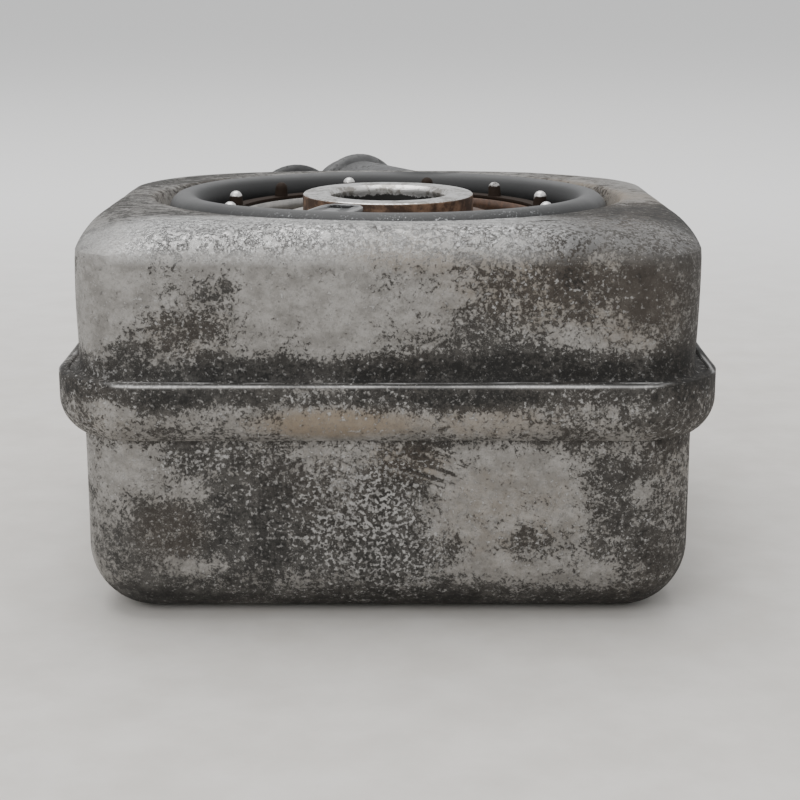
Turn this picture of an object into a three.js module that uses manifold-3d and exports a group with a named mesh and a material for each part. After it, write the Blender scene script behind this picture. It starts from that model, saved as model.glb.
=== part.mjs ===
// Engine oil cooler: an oil-to-water heat exchanger that is clamped between an engine's oil filter
// flange and a spin-on oil filter. Two drawn aluminium shells, folded together round the middle, hold a
// stack of oil cells that coolant washes round. Millimetres, +Z towards the engine, with the origin at
// the middle of the footprint, on the plane that the filter's gasket seats on.
import * as THREE from "three";
import { mergeVertices } from "three/addons/utils/BufferGeometryUtils.js";
import Module from "manifold-3d";

const wasm = await Module();
wasm.setup();

// ---- Driving dimensions ----

// Seal on the engine side, and the rim round it that sets the width of the body.
const SEAL_DIAMETER = 72; // outside
const SEAL_SECTION = 5.5; // thickness of its round section
const SEAL_STAND = 0.7; // how far it stands out of the rim when nothing presses on it
const GROOVE_GAP = 2.4; // from the seal out to the rim's edge
const RIM_LAND = 3.4; // narrowest flat between the rim's edge and the rounded top edge
const PULL_TAB = { width: 7, reach: 13.5, thickness: 0.9, slotWidth: 3.6, slotLength: 1.6, angle: 252 };

// Shells.
const SHEET = 1.2; // wall of both shells
const TOP_EDGE_RADIUS = 4.2; // from the side walls to the top
const BOTTOM_EDGE_RADIUS = 10; // from the side walls to the bottom
const CORNER_RADIUS = 10.5; // plan corner of the engine-side shell
const TOP_CORNER_RADIUS = 33; // plan corner of its top, which is almost round
const UPPER_DEPTH = 20.9; // engine-side shell, from its top to the ledge of the seam
const LOWER_DEPTH = 37.4; // from the bottom to that ledge
const LOWER_INSET = 0.5; // filter-side shell stands in by this much from the engine-side one
const SEAM_OVERHANG = 3; // ledge of the seam, out from the engine-side wall
const SEAM_DEPTH = 9; // folded skirt, from the ledge down
const FOLD_RADIUS = 1.4; // outside of the fold
const SEAM_CURL = 6; // radius that curls the skirt's edge back to the filter-side wall
const GASKET_LAND = 6.25; // flat for the filter's gasket, round the filter-side opening

// Centre tube, for the hollow bolt that clamps the cooler.
const TUBE_DIAMETER = 28.2;
const BORE_DIAMETER = 19.2;
const TUBE_STAND = 0.2; // its top stands above the rim
const TUBE_CHAMFER = 0.7;

// End plates, and the ring of stubs that holds the seal from inside.
const RECESS_DEPTH = 3.4; // from the rim down to the engine-side floor
const END_PLATE = 2; // thickness
const FILTER_RECESS = 3.2; // from the gasket land up to the filter-side floor
const STUBS = 12;
const STUB_CIRCLE = 53.2; // diameter that they stand on
const STUB_RADIUS = 1.15;
const STUB_HEIGHT = 2.4;
const PORT_MARGIN = 2.5; // metal left each side of an oil port
const PORT_SPAN = 40; // degrees that a kidney port covers
const PORT_ANGLES = { inlet: [41, 139], outlet: [221, 319] };

// Core.
const CELLS = 5;
const CELL_HEIGHT = 5;
const CELL_SHEET = 0.8;
const JACKET = 2.4; // coolant space between the cells and the shells
const FIN_WAVES = 16;
const FIN_SHEET = 0.4;

// Coolant pipes, both bent the same way.
const NECK_RADIUS = 7; // where a pipe passes through the wall
const STUB_PIPE_RADIUS = 9.3; // where the hose goes on
const BEAD_RADIUS = 10.7;
const PIPE_WALL = 1.2;
const PIPE_BEND_RADIUS = 14;
const PIPE_BEND = 30; // degrees
const NECK_LENGTH = 7; // straight length outside the wall
const SWAGE_LENGTH = 2.2;
const BEAD_SETBACK = 3.5; // from the open end to the bead
const BEAD_LENGTH = 3;
const PIPES = [
  { name: "coolant_inlet_pipe", collar: "inlet_pipe_collar", x: 10, straight: 34 },
  { name: "coolant_outlet_pipe", collar: "outlet_pipe_collar", x: -13.9, straight: 11 },
];
const COLLAR_WIDTH = 1.8;
const COLLAR_THICKNESS = 1.6;

const CLEAR = 0.3; // left between pieces that fit into each other
const BRAZE = 0.1; // film of filler between stacked pieces

// ---- Places worked out from them ----

const sealRadius = SEAL_DIAMETER / 2;
const sealMid = sealRadius - SEAL_SECTION / 2;
const rimRadius = sealRadius + GROOVE_GAP;
const upperHalf = rimRadius + RIM_LAND + TOP_EDGE_RADIUS;
const lowerHalf = upperHalf - LOWER_INSET;
const seamHalf = upperHalf + SEAM_OVERHANG;
const ledge = LOWER_DEPTH;
const top = LOWER_DEPTH + UPPER_DEPTH;
const sealCentre = top + SEAL_STAND - SEAL_SECTION / 2;
const grooveFloor = sealCentre - SEAL_SECTION / 2 - CLEAR;
const recessFloor = top - RECESS_DEPTH;
const tubeRadius = TUBE_DIAMETER / 2;
const floorRadius = sealRadius - SEAL_SECTION - 2 * CLEAR; // outer edge of the engine-side floor
const openingRadius = lowerHalf - BOTTOM_EDGE_RADIUS - GASKET_LAND;
const portInner = tubeRadius + CLEAR + PORT_MARGIN;
const portOuter = STUB_CIRCLE / 2 - STUB_RADIUS - PORT_MARGIN / 4;
const portMid = (portInner + portOuter) / 2;
const portRadius = (portOuter - portInner) / 2;
const pipeHeight = ledge + 2 * CLEAR + NECK_RADIUS;

// ---- Materials ----

const metal = (color, roughness, metalness) => new THREE.MeshStandardMaterial({ color, roughness, metalness });
const finishes = {
  shell: metal(0x8f8c86, 0.55, 0.8),
  tube: metal(0xb9b6ae, 0.3, 0.9),
  seal: metal(0x4a4e50, 0.6, 0),
  plate: metal(0x77706a, 0.4, 0.7),
  core: metal(0xa8a6a0, 0.45, 0.8),
  pipe: metal(0x6e7072, 0.5, 0.6),
};

// ---- Geometry helpers ----

const radians = THREE.MathUtils.degToRad;

// A geometry as a manifold-3d solid, and back.
function solid(geometry) {
  const bare = geometry.clone();
  bare.deleteAttribute("normal");
  bare.deleteAttribute("uv");
  const merged = mergeVertices(bare, 1e-4);
  const mesh = new wasm.Mesh({
    numProp: 3,
    vertProperties: new Float32Array(merged.attributes.position.array),
    triVerts: new Uint32Array(merged.index.array),
  });
  return new wasm.Manifold(mesh);
}

function geometryOf(manifold) {
  const mesh = manifold.getMesh();
  return new THREE.BufferGeometry()
    .setAttribute("position", new THREE.BufferAttribute(new Float32Array(mesh.vertProperties), 3))
    .setIndex(new THREE.BufferAttribute(new Uint32Array(mesh.triVerts), 1));
}

// Outline of a rounded square, anticlockwise, with the same number of points at any size.
function squareOutline(half, corner, cornerSteps, sideSteps) {
  const centre = half - corner;
  const quarter = [];
  for (let i = 0; i <= cornerSteps; i++) {
    const angle = (i / cornerSteps) * (Math.PI / 2);
    quarter.push([centre + corner * Math.cos(angle), centre + corner * Math.sin(angle)]);
  }
  for (let i = 1; i < sideSteps; i++) quarter.push([centre * (1 - (2 * i) / sideSteps), half]);
  const outline = [];
  for (let turn = 0; turn < 4; turn++) {
    for (const [x, y] of quarter) {
      outline.push(new THREE.Vector2(x, y).rotateAround(new THREE.Vector2(), (turn * Math.PI) / 2));
    }
  }
  return outline;
}

// Circle with as many points as that outline, spaced evenly, each facing its own point of the square.
function circleOutline(radius, cornerSteps, sideSteps) {
  const count = 4 * (cornerSteps + sideSteps);
  const outline = [];
  for (let i = 0; i < count; i++) {
    const angle = Math.PI / 4 + ((i - cornerSteps / 2) / count) * 2 * Math.PI;
    outline.push(new THREE.Vector2(radius * Math.cos(angle), radius * Math.sin(angle)));
  }
  return outline;
}

// A body whose skin runs through rings of points, from the first round to the first again.
function closedLoft(rings) {
  const count = rings[0].length;
  const at = (ring, spot) => (ring % rings.length) * count + (spot % count);
  const index = [];
  for (let i = 0; i < rings.length; i++) {
    for (let j = 0; j < count; j++) {
      index.push(at(i, j), at(i, j + 1), at(i + 1, j + 1));
      index.push(at(i, j), at(i + 1, j + 1), at(i + 1, j));
    }
  }
  return new THREE.BufferGeometry().setFromPoints(rings.flat()).setIndex(index);
}

// Points of an arc in the plane of a profile: r outwards and z up, angles in degrees from +r.
function arc(r, z, radius, from, to, steps) {
  const points = [];
  for (let i = 0; i <= steps; i++) {
    const angle = radians(from + ((to - from) * i) / steps);
    points.push({ r: r + radius * Math.cos(angle), z: z + radius * Math.sin(angle) });
  }
  return points;
}

const round = (points) => points.map((point) => ({ ...point, round: true }));

// The other face of a sheet: each point of its profile moved to the left of the way it runs.
function otherFace(profile, thickness) {
  const ways = profile.slice(1).map((point, i) => {
    return new THREE.Vector2(point.r - profile[i].r, point.z - profile[i].z).normalize();
  });
  return profile.map((point, i) => {
    const before = ways[Math.max(i - 1, 0)];
    const after = ways[Math.min(i, ways.length - 1)];
    const mean = before.clone().add(after).normalize();
    const reach = thickness / Math.max(mean.dot(after), 0.5);
    return { ...point, r: point.r - mean.y * reach, z: point.z + mean.x * reach };
  });
}

// A sheet pressed to a rounded square. Profile points marked round lie on circles instead.
function pressedSheet(profile, thickness, half, corner, cornerSteps, sideSteps) {
  const closed = [...profile, ...otherFace(profile, thickness).reverse()];
  return closedLoft(closed.map((point) => pressedRing(point, half, corner, cornerSteps, sideSteps)));
}

// Its plan corner keeps its centre as the sheet goes in and out, unless the point has a corner of its own.
function pressedRing({ r, z, round: onCircle, corner: own }, half, corner, cornerSteps, sideSteps) {
  const sharpest = SHEET / 2;
  const outline = onCircle
    ? circleOutline(r, cornerSteps, sideSteps)
    : squareOutline(r, own ?? Math.max(corner + r - half, sharpest), cornerSteps, sideSteps);
  return outline.map((spot) => new THREE.Vector3(spot.x, spot.y, z));
}

// A turned body about +Z from a closed profile of [r, z] pairs, anticlockwise with r to the right.
function turned(profile, segments) {
  const points = [...profile, profile[0]].map(([r, z]) => new THREE.Vector2(r, z));
  return new THREE.LatheGeometry(points, segments).rotateX(Math.PI / 2);
}

const turnedRing = (inner, outer, low, high, segments) =>
  turned([[inner, low], [outer, low], [outer, high], [inner, high]], segments);

// A kidney-shaped plug that cuts an oil port, from low to high.
function kidney(middle, low, high) {
  const from = radians(middle - PORT_SPAN / 2);
  const to = radians(middle + PORT_SPAN / 2);
  const shape = new THREE.Shape();
  shape.absarc(0, 0, portOuter, from, to, false);
  shape.absarc(portMid * Math.cos(to), portMid * Math.sin(to), portRadius, to, to + Math.PI, false);
  shape.absarc(0, 0, portInner, to, from, true);
  shape.absarc(portMid * Math.cos(from), portMid * Math.sin(from), portRadius, from + Math.PI, from + 2 * Math.PI, false);
  const depth = high - low;
  return solid(new THREE.ExtrudeGeometry(shape, { depth, bevelEnabled: false, curveSegments: 5 }).translate(0, 0, low));
}

// A round plug for one of the four ports that every oil plate and spacer has.
function roundPort(angle, low, high) {
  const plug = new THREE.CylinderGeometry(portRadius, portRadius, high - low, 6).rotateX(Math.PI / 2);
  plug.translate(portMid * Math.cos(radians(angle)), portMid * Math.sin(radians(angle)), (low + high) / 2);
  return solid(plug);
}

const cutBy = (body, plugs) => plugs.reduce((rest, plug) => rest.subtract(plug), body);
const allPorts = [...PORT_ANGLES.inlet, ...PORT_ANGLES.outlet];

const cooler = new THREE.Group();

function add(name, geometry, finish) {
  const mesh = new THREE.Mesh(geometry, finishes[finish]);
  mesh.name = name;
  cooler.add(mesh);
  return mesh;
}

// ---- Coolant pipes ----

// Middle line of a pipe, as places with the direction there, from inside the wall to the open end.
function pipeRoute(pipe) {
  const bend = radians(PIPE_BEND);
  const start = upperHalf - SHEET - CLEAR;
  const bendStart = upperHalf + NECK_LENGTH;
  const bendCentre = new THREE.Vector2(pipe.x - PIPE_BEND_RADIUS, bendStart);
  const at = (x, y, angle) => ({ x, y, angle });
  const swageStart = seamHalf + CLEAR;
  const route = [
    { ...at(pipe.x, start, 0), radius: NECK_RADIUS },
    { ...at(pipe.x, swageStart, 0), radius: NECK_RADIUS },
    { ...at(pipe.x, swageStart + SWAGE_LENGTH, 0), radius: STUB_PIPE_RADIUS },
  ];
  const bendSteps = 4;
  for (let i = 1; i <= bendSteps; i++) {
    const angle = (bend * i) / bendSteps;
    const x = bendCentre.x + PIPE_BEND_RADIUS * Math.cos(angle);
    const y = bendCentre.y + PIPE_BEND_RADIUS * Math.sin(angle);
    route.push({ ...at(x, y, angle), radius: STUB_PIPE_RADIUS });
  }
  const bendEnd = route.at(-1);
  const along = (distance, radius) => {
    const x = bendEnd.x - Math.sin(bend) * distance;
    const y = bendEnd.y + Math.cos(bend) * distance;
    return { ...at(x, y, bend), radius };
  };
  const beadEnd = pipe.straight - BEAD_SETBACK;
  const beadStart = beadEnd - BEAD_LENGTH;
  const beadSlope = BEAD_LENGTH / 4;
  route.push(along(beadStart, STUB_PIPE_RADIUS), along(beadStart + beadSlope, BEAD_RADIUS));
  route.push(along(beadEnd - beadSlope, BEAD_RADIUS), along(beadEnd, STUB_PIPE_RADIUS));
  route.push(along(pipe.straight, STUB_PIPE_RADIUS));
  return route;
}

function pipeRing({ x, y, angle }, radius) {
  const sides = 14;
  const points = [];
  for (let i = 0; i < sides; i++) {
    const turn = (i / sides) * 2 * Math.PI;
    const across = radius * Math.cos(turn);
    const up = radius * Math.sin(turn);
    points.push(new THREE.Vector3(x + across * Math.cos(angle), y + across * Math.sin(angle), pipeHeight + up));
  }
  return points.reverse();
}

function pipeGeometry(pipe) {
  const route = pipeRoute(pipe);
  const outside = route.map((place) => pipeRing(place, place.radius));
  const inside = route
    .filter((place) => place.radius !== BEAD_RADIUS)
    .map((place) => pipeRing(place, place.radius - PIPE_WALL));
  return closedLoft([...outside, ...inside.reverse()]);
}

// A plug or ring on a pipe's neck, square to the rear wall.
function onNeck(geometry, pipe, y) {
  return geometry.rotateX(-Math.PI / 2).translate(pipe.x, y, pipeHeight);
}

for (const pipe of PIPES) {
  add(pipe.name, pipeGeometry(pipe), "pipe");
  const outer = NECK_RADIUS + CLEAR + COLLAR_WIDTH;
  const ring = turnedRing(NECK_RADIUS + CLEAR, outer, 0, COLLAR_THICKNESS, 20);
  const aboveLedge = new THREE.BoxGeometry(4 * outer, 4 * outer, 4 * outer);
  aboveLedge.translate(pipe.x, upperHalf, ledge + CLEAR + 2 * outer);
  const collar = solid(onNeck(ring, pipe, upperHalf + CLEAR)).intersect(solid(aboveLedge));
  add(pipe.collar, geometryOf(collar), "pipe");
}

// ---- Shells ----

const CORNER_STEPS = 4;
const SIDE_STEPS = 3;

// Engine-side shell: the folded skirt, the ledge, the wall, the top and the rim that leads down to the seal.
const curlAngle = Math.acos((SEAM_CURL - (seamHalf - lowerHalf - CLEAR)) / (SEAM_CURL - SHEET));
const curlDegrees = THREE.MathUtils.radToDeg(curlAngle);
const skirtBottom = ledge - SEAM_DEPTH;
const skirtInside = skirtBottom + SHEET * Math.sin(curlAngle);
const rimLip = grooveFloor + 2 * CLEAR;
const topEdge = arc(upperHalf - TOP_EDGE_RADIUS, top - TOP_EDGE_RADIUS, TOP_EDGE_RADIUS, 0, 90, 3);
const upperProfile = [
  ...arc(seamHalf - SEAM_CURL, skirtBottom + SEAM_CURL * Math.sin(curlAngle), SEAM_CURL, -curlDegrees, 0, 3),
  ...arc(seamHalf - FOLD_RADIUS, ledge - FOLD_RADIUS, FOLD_RADIUS, 0, 90, 2),
  { r: upperHalf + CLEAR, z: ledge },
  { r: upperHalf, z: ledge + CLEAR },
  ...topEdge.map((point, i) => {
    const share = i / (topEdge.length - 1);
    return { ...point, corner: CORNER_RADIUS + (TOP_CORNER_RADIUS - CORNER_RADIUS) * share };
  }),
  ...round([
    { r: rimRadius, z: top },
    { r: rimRadius - 0.3 * GROOVE_GAP, z: top - 0.25 * GROOVE_GAP },
    { r: sealRadius + 2 * CLEAR, z: rimLip },
  ]),
];
const upperShell = solid(pressedSheet(upperProfile, SHEET, upperHalf, CORNER_RADIUS, CORNER_STEPS, SIDE_STEPS));
const neckPlugs = PIPES.map((pipe) => {
  const plug = new THREE.CylinderGeometry(NECK_RADIUS + CLEAR, NECK_RADIUS + CLEAR, 4 * TOP_EDGE_RADIUS, 20);
  return solid(plug.translate(pipe.x, upperHalf, pipeHeight));
});
add("upper_shell", geometryOf(cutBy(upperShell, neckPlugs)), "shell");

// Filter-side shell: the lip round the filter's opening, the bottom, the wall and the flared rim in the fold.
const lipRadius = SHEET + CLEAR;
const flareHalf = seamHalf - SHEET - CLEAR;
const rimTop = ledge - SHEET - CLEAR;
const lowerProfile = [
  ...round([{ r: openingRadius, z: FILTER_RECESS - CLEAR }]),
  ...round(arc(openingRadius + lipRadius, lipRadius, lipRadius, 180, 270, 2)),
  ...arc(lowerHalf - BOTTOM_EDGE_RADIUS, BOTTOM_EDGE_RADIUS, BOTTOM_EDGE_RADIUS, -90, 0, 4),
  { r: lowerHalf, z: skirtInside + CLEAR },
  { r: flareHalf, z: rimTop - 2 * SHEET },
  { r: flareHalf, z: rimTop },
];
add("lower_shell", pressedSheet(lowerProfile, SHEET, upperHalf, CORNER_RADIUS, CORNER_STEPS, SIDE_STEPS), "shell");

// ---- Centre tube ----

const tubeTop = top + TUBE_STAND;
const boreRadius = BORE_DIAMETER / 2;
const chamfered = TUBE_CHAMFER;
const tubeProfile = [
  [boreRadius, chamfered + CLEAR],
  [boreRadius + chamfered, CLEAR],
  [tubeRadius - chamfered, CLEAR],
  [tubeRadius, chamfered + CLEAR],
  [tubeRadius, tubeTop - chamfered],
  [tubeRadius - chamfered, tubeTop],
  [boreRadius + chamfered, tubeTop],
  [boreRadius, tubeTop - chamfered],
];
add("centre_tube", turned(tubeProfile, 32), "tube");

// ---- End plates ----

// Engine-side plate: the floor of the recess and, one step down, the groove under the seal.
const stepOut = 2 * CLEAR;
const engineOuter = rimRadius;
const engineProfile = [
  [tubeRadius + CLEAR, recessFloor - END_PLATE],
  [floorRadius - END_PLATE, recessFloor - END_PLATE],
  [floorRadius - END_PLATE + stepOut, grooveFloor - END_PLATE],
  [engineOuter, grooveFloor - END_PLATE],
  [engineOuter, grooveFloor],
  [floorRadius, grooveFloor],
  [floorRadius - CLEAR, recessFloor],
  [tubeRadius + CLEAR, recessFloor],
];
const enginePorts = PORT_ANGLES.inlet.map((angle) => kidney(angle, recessFloor - 2 * END_PLATE, recessFloor + END_PLATE));
add("engine_side_plate", geometryOf(cutBy(solid(turned(engineProfile, 36)), enginePorts)), "plate");

// Filter-side plate: the floor that the filter's oil meets, with its edge on the shell's bottom.
const filterFloor = FILTER_RECESS;
const filterOuter = lowerHalf - BOTTOM_EDGE_RADIUS;
const seatRadius = openingRadius + lipRadius + CLEAR;
const filterProfile = [
  [tubeRadius + CLEAR, filterFloor],
  [seatRadius, filterFloor],
  [seatRadius, SHEET + CLEAR],
  [filterOuter, SHEET + CLEAR],
  [filterOuter, filterFloor + END_PLATE],
  [tubeRadius + CLEAR, filterFloor + END_PLATE],
];
const filterPorts = PORT_ANGLES.outlet.map((angle) => kidney(angle, 0, filterFloor + 2 * END_PLATE));
add("filter_side_plate", geometryOf(cutBy(solid(turned(filterProfile, 32)), filterPorts)), "plate");

// ---- Seal, with its pull tab, and the ring of stubs inside it ----

const sealSides = 10;
const sealCorner = SEAL_SECTION / 2 / Math.cos(Math.PI / sealSides);
const sealProfile = [];
for (let i = 0; i < sealSides; i++) {
  const angle = (i / sealSides) * 2 * Math.PI;
  sealProfile.push([sealMid + sealCorner * Math.cos(angle), sealCentre + sealCorner * Math.sin(angle)]);
}
function pullTab() {
  const { width, reach, thickness, slotWidth, slotLength, angle } = PULL_TAB;
  const end = width / 2;
  const shape = new THREE.Shape();
  shape.moveTo(-end, 0);
  shape.lineTo(end, 0);
  shape.lineTo(end, reach - end);
  shape.absellipse(0, reach - end, end, end, 0, Math.PI, false, 0);
  const slot = new THREE.Path();
  const slotMid = reach - end;
  slot.absellipse(0, slotMid, slotWidth / 2, slotLength / 2, 0, 2 * Math.PI, false, 0);
  shape.holes.push(slot);
  const tab = new THREE.ExtrudeGeometry(shape, { depth: thickness, bevelEnabled: false, curveSegments: 5 });
  tab.translate(0, -sealMid, sealCentre + SEAL_SECTION / 2 - thickness - CLEAR);
  return solid(tab.rotateZ(radians(angle - 270)));
}
add("seal_ring", geometryOf(solid(turned(sealProfile, 40)).add(pullTab())), "seal");

const stubCircle = STUB_CIRCLE / 2;
const retainerOuter = stubCircle + STUB_RADIUS;
const retainerInner = stubCircle - STUB_RADIUS;
const retainerSheet = END_PLATE / 4;
let retainer = solid(turnedRing(retainerInner, retainerOuter, recessFloor + BRAZE, recessFloor + BRAZE + retainerSheet, 36));
for (let i = 0; i < STUBS; i++) {
  const angle = ((i + 0.5) / STUBS) * 2 * Math.PI;
  const stub = new THREE.CylinderGeometry(0.6 * STUB_RADIUS, 0.96 * STUB_RADIUS, STUB_HEIGHT, 6).rotateX(Math.PI / 2);
  stub.translate(stubCircle * Math.cos(angle), stubCircle * Math.sin(angle), recessFloor + 2 * BRAZE + STUB_HEIGHT / 2);
  retainer = retainer.add(solid(stub));
}
add("seal_retainer", geometryOf(retainer), "plate");

// ---- Core: oil cells of two dished plates with a finned sheet between them, and spacers with the ports ----

const cellHalf = upperHalf - SHEET - JACKET;
const cellCorner = CORNER_RADIUS - SHEET;
const stackLow = filterFloor + END_PLATE + BRAZE;
const stackHigh = recessFloor - END_PLATE - BRAZE;
const joints = 2 * CELLS; // films of filler between the cells and the spacers
const spacerHeight = (stackHigh - stackLow - CELLS * CELL_HEIGHT - joints * BRAZE) / (CELLS + 1);
const spacerOuter = portOuter + PORT_MARGIN - 2 * CLEAR;
const CELL_CORNER_STEPS = 2;
const CELL_SIDE_STEPS = 3;

// One dished plate, with its rim turned up from z = 0.
function oilPlate() {
  const rim = (CELL_HEIGHT - BRAZE) / 2;
  const profile = [
    ...round([{ r: tubeRadius + CLEAR, z: 0 }]),
    { r: cellHalf, z: 0 },
    { r: cellHalf, z: rim },
    { r: cellHalf - CELL_SHEET, z: rim },
    { r: cellHalf - CELL_SHEET, z: CELL_SHEET },
    ...round([{ r: tubeRadius + CLEAR, z: CELL_SHEET }]),
  ];
  const rings = profile.map((point) => {
    return pressedRing(point, cellHalf, cellCorner, CELL_CORNER_STEPS, CELL_SIDE_STEPS);
  });
  const plugs = allPorts.map((angle) => roundPort(angle, -CELL_SHEET, 2 * CELL_SHEET));
  return geometryOf(cutBy(solid(closedLoft(rings)), plugs));
}

// A sheet pleated round the tube, outside the ports, that stirs the oil.
function turbulator() {
  const inner = spacerOuter + CLEAR;
  const outer = cellHalf - CELL_SHEET - CLEAR;
  const space = CELL_HEIGHT - 2 * CELL_SHEET - 2 * CLEAR;
  const steps = 2 * FIN_WAVES;
  const rings = [];
  const corners = [[inner, 0], [outer, 0], [outer, FIN_SHEET], [inner, FIN_SHEET]];
  for (const [radius, lift] of corners) {
    const ring = [];
    for (let i = 0; i < steps; i++) {
      const angle = (i / steps) * 2 * Math.PI;
      const height = (i % 2) * (space - FIN_SHEET) + lift;
      ring.push(new THREE.Vector3(radius * Math.cos(angle), radius * Math.sin(angle), height));
    }
    rings.push(ring);
  }
  return closedLoft(rings);
}

function portSpacer() {
  const ring = solid(turnedRing(tubeRadius + CLEAR, spacerOuter, 0, spacerHeight, 20));
  const plugs = allPorts.map((angle) => roundPort(angle, -CELL_SHEET, spacerHeight + CELL_SHEET));
  return geometryOf(cutBy(ring, plugs));
}

let level = stackLow;
for (let i = 1; i <= CELLS + 1; i++) {
  add(`port_spacer_${i}`, portSpacer(), "core").position.z = level;
  level += spacerHeight + BRAZE;
  if (i > CELLS) break;
  add(`oil_plate_lower_${i}`, oilPlate(), "core").position.z = level;
  add(`turbulator_${i}`, turbulator(), "core").position.z = level + CELL_SHEET + CLEAR;
  const upper = add(`oil_plate_upper_${i}`, oilPlate(), "core");
  upper.rotation.x = Math.PI;
  upper.position.z = level + CELL_HEIGHT;
  level += CELL_HEIGHT + BRAZE;
}

// Strip that fills the jacket between the two pipes, so that coolant goes the long way round the cells.
const baffleWidth = 2 * SHEET;
const baffleDepth = JACKET - 2 * CLEAR;
const baffleLow = BOTTOM_EDGE_RADIUS;
const baffleHigh = ledge + UPPER_DEPTH - TOP_EDGE_RADIUS - SHEET;
const baffle = new THREE.BoxGeometry(baffleWidth, baffleDepth - LOWER_INSET, baffleHigh - baffleLow);
const betweenPipes = (PIPES[0].x + PIPES[1].x) / 2;
baffle.translate(betweenPipes, cellHalf + CLEAR + (baffleDepth - LOWER_INSET) / 2, (baffleLow + baffleHigh) / 2);
add("coolant_baffle", baffle, "core");

// The origin is the middle of the footprint.
const footprint = new THREE.Box3().setFromObject(cooler);
cooler.position.set(-(footprint.min.x + footprint.max.x) / 2, -(footprint.min.y + footprint.max.y) / 2, 0);

export default cooler;
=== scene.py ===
"""A used engine oil cooler, dressed over its CAD frame.

The cooler is clamped between an engine's filter flange and a spin-on oil filter. Two drawn aluminium
shells are folded together round the middle. The engine's side, on top, has a rubber seal round a shallow
recess, a machined tube in the middle for the bolt, and a ring of short stubs. Two coolant pipes leave the
rear wall. All lengths are in metres, in the frame of the CAD; the parts are drawn about the tube's own
axis and then set in place.
"""

import math
from collections import namedtuple

import bmesh
import bpy
from mathutils import Matrix, Vector, noise


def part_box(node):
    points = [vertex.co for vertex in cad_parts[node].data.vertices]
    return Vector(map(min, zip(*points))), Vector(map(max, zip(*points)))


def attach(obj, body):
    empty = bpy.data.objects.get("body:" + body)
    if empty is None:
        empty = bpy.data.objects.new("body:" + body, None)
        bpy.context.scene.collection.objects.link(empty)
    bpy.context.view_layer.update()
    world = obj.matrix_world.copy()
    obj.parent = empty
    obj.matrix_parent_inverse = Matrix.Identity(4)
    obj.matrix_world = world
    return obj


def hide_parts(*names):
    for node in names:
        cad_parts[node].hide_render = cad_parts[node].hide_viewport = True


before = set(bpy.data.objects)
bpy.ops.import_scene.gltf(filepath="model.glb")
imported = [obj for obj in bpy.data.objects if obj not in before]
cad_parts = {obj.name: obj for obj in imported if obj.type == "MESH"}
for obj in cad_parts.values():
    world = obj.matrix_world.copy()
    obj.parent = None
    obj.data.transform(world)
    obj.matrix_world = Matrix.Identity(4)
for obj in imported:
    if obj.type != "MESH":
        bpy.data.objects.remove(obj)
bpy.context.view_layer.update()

MM = 0.001

# ---- Sizes that the frame gives ----

tube_low, tube_high = (Vector(corner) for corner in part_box("centre_tube"))
AXIS = Vector(((tube_low.x + tube_high.x) / 2, (tube_low.y + tube_high.y) / 2, 0))
TUBE_RADIUS = (tube_high.x - tube_low.x) / 2
TUBE_TOP = tube_high.z
TUBE_BOTTOM = tube_low.z

upper_low, upper_high = (Vector(corner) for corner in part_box("upper_shell"))
SEAM_HALF = (upper_high.x - upper_low.x) / 2
SKIRT_BOTTOM = upper_low.z
TOP = upper_high.z

lower_low, lower_high = (Vector(corner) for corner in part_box("lower_shell"))
FLARE_HALF = (lower_high.x - lower_low.x) / 2
RIM_TOP = lower_high.z

seal_low, seal_high = (Vector(corner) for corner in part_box("seal_ring"))
SEAL_SECTION = seal_high.z - seal_low.z
SEAL_HEIGHT = (seal_low.z + seal_high.z) / 2

engine_low, engine_high = (Vector(corner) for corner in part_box("engine_side_plate"))
RECESS_FLOOR = engine_high.z
RIM_RADIUS = (engine_high.x - engine_low.x) / 2

filter_low, filter_high = (Vector(corner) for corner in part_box("filter_side_plate"))
BOTTOM_FLAT = (filter_high.x - filter_low.x) / 2

stubs_low, stubs_high = (Vector(corner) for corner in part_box("seal_retainer"))
STUB_RING = (stubs_high.x - stubs_low.x) / 2

# ---- Sizes that the boxes do not give ----

SHEET = 1.2 * MM
END_PLATE = 2 * MM
CLEAR = 0.3 * MM
UPPER_HALF = SEAM_HALF - 3 * MM
LOWER_HALF = UPPER_HALF - 0.5 * MM
LEDGE = RIM_TOP + SHEET + CLEAR
CORNER = 10.5 * MM
TOP_CORNER = 33 * MM
TOP_EDGE = 4.2 * MM
BOTTOM_EDGE = 10 * MM
FOLD = 1.4 * MM
CURL = 6 * MM
GROOVE_FLOOR = SEAL_HEIGHT - SEAL_SECTION / 2 - CLEAR
SEAL_MIDDLE = 33.25 * MM
FLOOR_RADIUS = SEAL_MIDDLE - SEAL_SECTION / 2 - 2 * CLEAR
FILTER_FLOOR = filter_high.z - END_PLATE
OPENING = LOWER_HALF - BOTTOM_EDGE - 6.25 * MM
BORE = 9.6 * MM


# ---- Shader maths ----


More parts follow.
